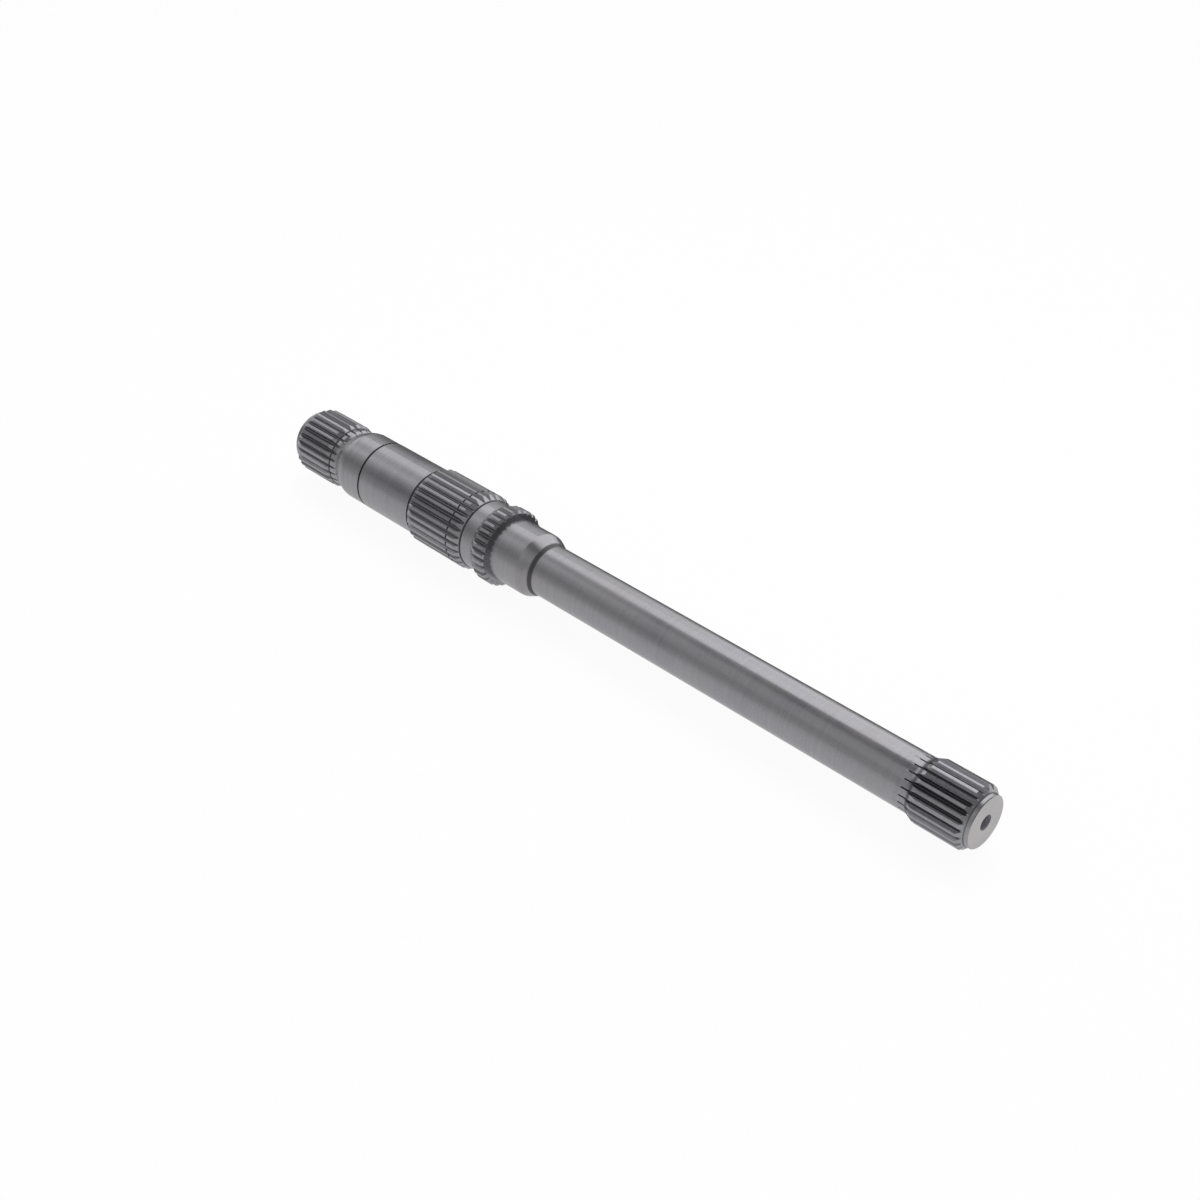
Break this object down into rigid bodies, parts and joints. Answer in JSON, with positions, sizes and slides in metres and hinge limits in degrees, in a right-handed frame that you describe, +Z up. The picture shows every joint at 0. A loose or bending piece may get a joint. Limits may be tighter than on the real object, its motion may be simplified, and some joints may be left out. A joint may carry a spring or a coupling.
{
  "type": "splined shaft",
  "caption": "Stepped steel drive shaft with involute splines at both ends and in the middle, two ground bearing seats, relief grooves and a centre hole in each end face.",
  "frame": {"origin": "centre of the front end face, at the mouth of its centre hole", "axes": "+X along the shaft axis, out of the front end; +Z up, through a tooth space of every spline; the shaft runs towards -X"},
  "size_m": [0.5298, 0.0492, 0.049],
  "materials": {
    "steel": "fine turned and ground steel, dark, satin"
  },
  "bodies": {
    "root": {"splined_shaft": "steel"}
  },
  "joints": []
}
